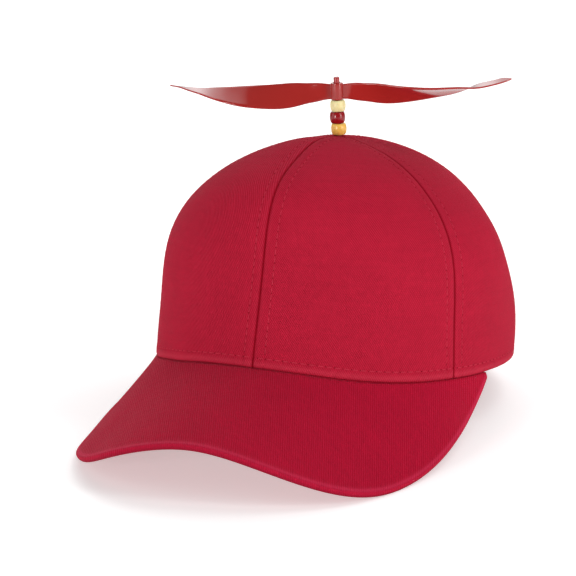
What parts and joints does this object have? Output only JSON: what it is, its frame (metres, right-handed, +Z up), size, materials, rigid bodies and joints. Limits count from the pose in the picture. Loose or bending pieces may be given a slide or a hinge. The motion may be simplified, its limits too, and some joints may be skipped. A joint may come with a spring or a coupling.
{
  "type": "propeller cap",
  "caption": "Red six-panel cloth cap with an arched visor and a twisted plastic propeller that spins on a post of pony beads at the top of the crown.",
  "frame": {"origin": "on the table it stands on, under the middle of its outline", "axes": "+Z up along the post, -Y the way the visor points, +X the wearer's left"},
  "size_m": [0.1913, 0.2826, 0.1718],
  "materials": {
    "crown_cloth": "matte cotton twill",
    "visor_cloth": "matte cotton twill",
    "bead_orange": "glossy, slightly milky",
    "bead_red": "glossy",
    "bead_yellow": "glossy, slightly milky",
    "post_plastic": "glossy",
    "propeller_plastic": "glossy"
  },
  "bodies": {
    "cap": {"panel_front_left": "crown_cloth", "panel_front_right": "crown_cloth", "panel_side_left": "crown_cloth", "panel_side_right": "crown_cloth", "panel_back_left": "crown_cloth", "panel_back_right": "crown_cloth", "visor": "visor_cloth", "bead_orange": "bead_orange", "bead_red": "bead_red", "bead_yellow": "bead_yellow", "post": "post_plastic"},
    "propeller": {"propeller": "propeller_plastic"}
  },
  "joints": [
    {"name": "propeller_spin", "type": "hinge", "parent": "cap", "child": "propeller", "pos_m": [0, 0.04942, 0.1646], "axis": [0, 0, 1], "continuous": true}
  ]
}
